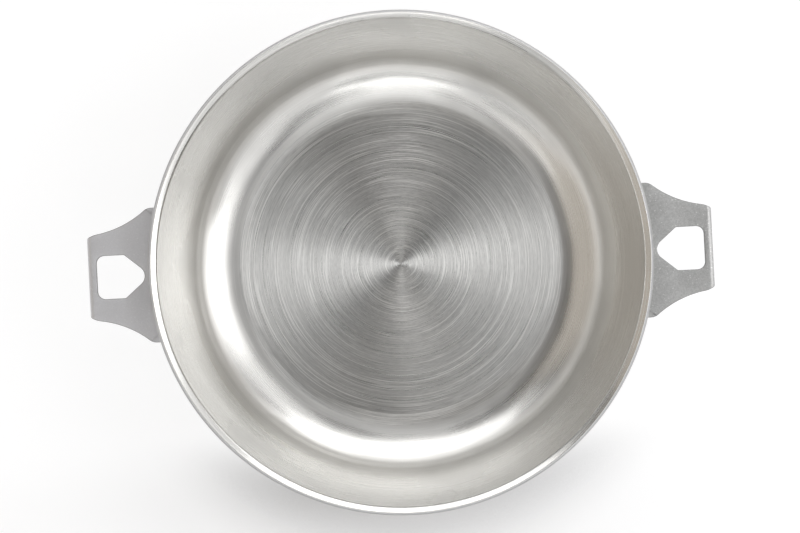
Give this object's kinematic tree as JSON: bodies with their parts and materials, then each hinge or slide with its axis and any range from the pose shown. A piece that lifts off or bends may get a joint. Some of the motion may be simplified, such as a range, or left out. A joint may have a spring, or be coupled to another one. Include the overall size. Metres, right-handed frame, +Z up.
{
  "type": "saucier",
  "caption": "Clad steel saucier with a flared pouring lip and two flat side lugs for a clip-on handle.",
  "frame": {"origin": "centre of the pan's base, on the table", "axes": "+Z up along the pan's axis, +X along the two lugs towards the right lug, +Y across"},
  "size_m": [0.3116, 0.2496, 0.0679],
  "materials": {
    "cooking_steel": "spun brushed",
    "core_aluminium": "as rolled, seen only at the cut edge",
    "outer_steel": "fine brushed",
    "lug_steel": "satin",
    "weld_steel": "dull, slightly darkened"
  },
  "bodies": {
    "root": {"cooking_ply": "cooking_steel", "aluminium_core": "core_aluminium", "outer_ply": "outer_steel", "left_lug": "lug_steel", "right_lug": "lug_steel", "left_weld_1": "weld_steel", "left_weld_2": "weld_steel", "left_weld_3": "weld_steel", "left_weld_4": "weld_steel", "right_weld_1": "weld_steel", "right_weld_2": "weld_steel", "right_weld_3": "weld_steel", "right_weld_4": "weld_steel"}
  },
  "joints": []
}
